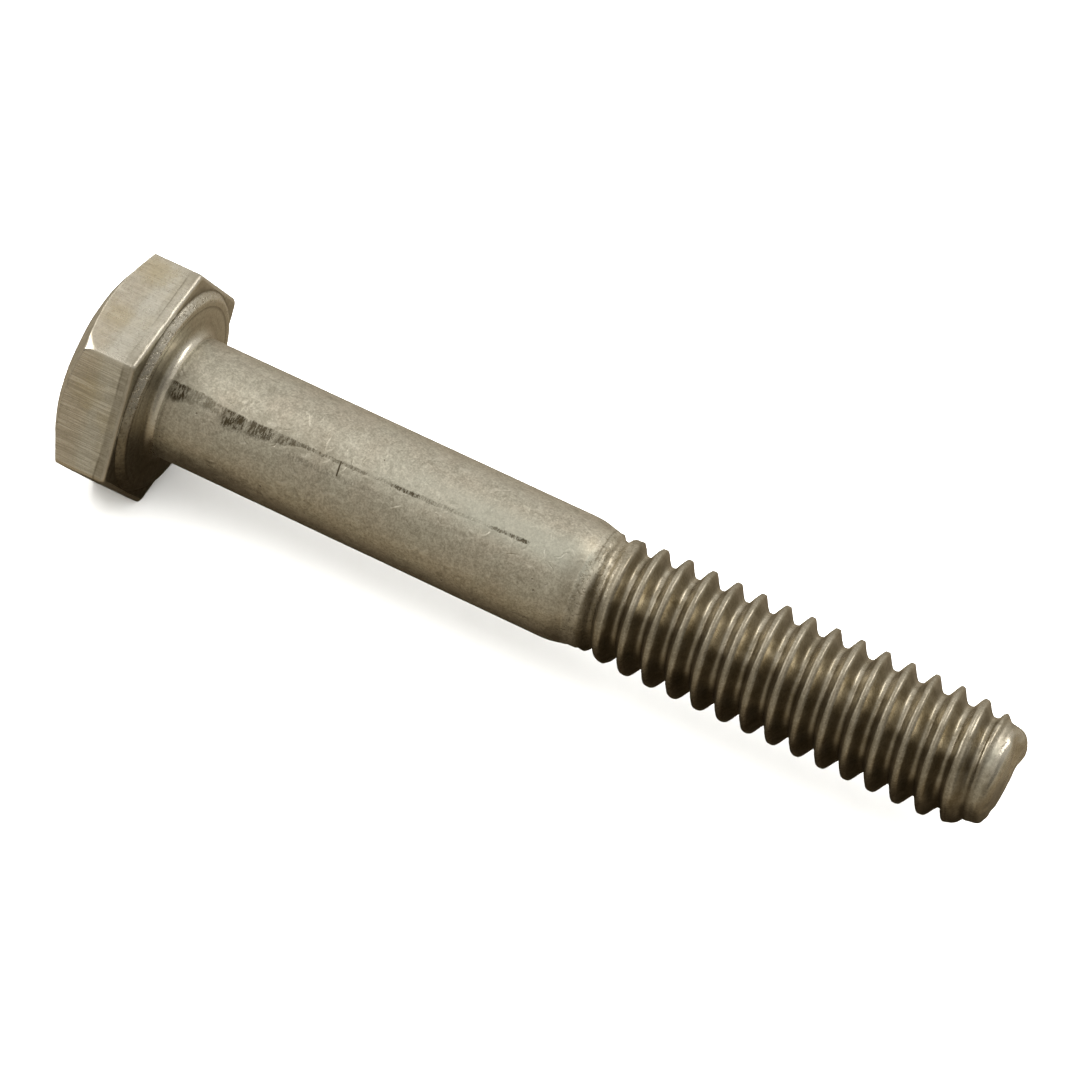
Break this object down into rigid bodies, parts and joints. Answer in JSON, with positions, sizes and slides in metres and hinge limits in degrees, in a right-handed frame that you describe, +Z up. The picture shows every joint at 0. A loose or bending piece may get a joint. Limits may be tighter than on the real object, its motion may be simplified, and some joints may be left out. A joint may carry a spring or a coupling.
{
  "type": "hex bolt",
  "caption": "Hex head bolt with a washer face, a long plain shank and a coarse right-hand thread, for clamping parts together with a nut or in a tapped hole.",
  "frame": {"origin": "centre of the bearing face under the head", "axes": "+X along the shank towards the point, with the head at -X; +Z up, square to one flat of the hexagon, with another flat facing straight down; +Y along the hexagon's corner-to-corner width"},
  "size_m": [0.0477, 0.0124, 0.011],
  "materials": {
    "stainless_steel": "satin, as forged and rolled, with brush lines on the flats and scuffs along the shank"
  },
  "bodies": {
    "root": {"hex_bolt": "stainless_steel"}
  },
  "joints": []
}
